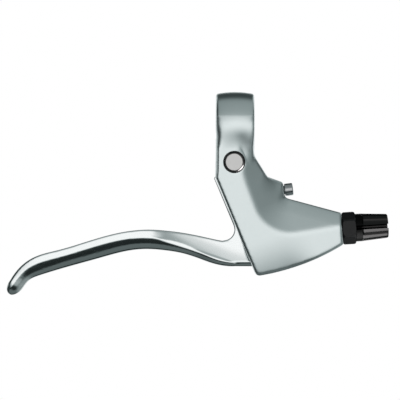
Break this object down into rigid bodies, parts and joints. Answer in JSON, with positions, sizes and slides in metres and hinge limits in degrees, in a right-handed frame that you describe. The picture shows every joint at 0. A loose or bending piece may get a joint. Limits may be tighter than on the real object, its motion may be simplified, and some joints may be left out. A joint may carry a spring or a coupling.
{
  "type": "bicycle brake lever",
  "caption": "Flat-bar bicycle brake lever: clamp bracket with a soft-ridged face, polished curved lever on a pivot pin, reach screw, lock nut and fluted cable barrel.",
  "frame": {"origin": "on the handlebar's axis, in the middle of the clamp", "axes": "+X along the bar towards the cable outlet, +Z from the blade up to the bar, -Y towards the front face"},
  "size_m": [0.1794, 0.0372, 0.0953],
  "materials": {
    "satin_bracket": "satin silver anodised casting",
    "polished_lever": "polished forging",
    "screw_steel": "zinc-plated screw",
    "pin_steel": "turned pin, matt",
    "spring_steel": "drawn spring wire",
    "bush_plastic": "plain bearing plastic",
    "black_nut": "satin black",
    "black_barrel": "gloss black"
  },
  "bodies": {
    "base": {"bracket": "satin_bracket", "clamp_bolt": "screw_steel", "clamp_bolt_washer": "screw_steel", "pivot_pin": "pin_steel", "pivot_washer": "pin_steel", "pivot_clip": "spring_steel", "return_spring": "spring_steel"},
    "lever_arm": {"lever": "polished_lever", "pivot_bush_front": "bush_plastic", "pivot_bush_rear": "bush_plastic"},
    "reach_adjuster": {"reach_screw": "screw_steel"},
    "cable_lock": {"lock_nut": "black_nut"},
    "cable_barrel": {"barrel_adjuster": "black_barrel"}
  },
  "joints": [
    {"name": "lever_pivot", "type": "hinge", "parent": "base", "child": "lever_arm", "pos_m": [-0.0005, 0, -0.0178], "axis": [0, 1, 0], "range_deg": [0, 26], "stiffness_Nm_per_rad": 0.12, "springref_deg": -45.84, "deforming": ["return_spring"]},
    {"name": "reach_turn", "type": "hinge", "parent": "base", "child": "reach_adjuster", "pos_m": [0.02294, 0, -0.0308], "axis": [0.9925, 0, 0.1219], "range_deg": [0, 1440]},
    {"name": "lock_turn", "type": "hinge", "parent": "base", "child": "cable_lock", "pos_m": [0.05349, 0, -0.0487], "axis": [0.9981, 0, 0.061], "range_deg": [0, 1440]},
    {"name": "barrel_turn", "type": "hinge", "parent": "base", "child": "cable_barrel", "pos_m": [0.06427, 0, -0.04804], "axis": [0.9981, 0, 0.061], "range_deg": [0, 1440]}
  ]
}
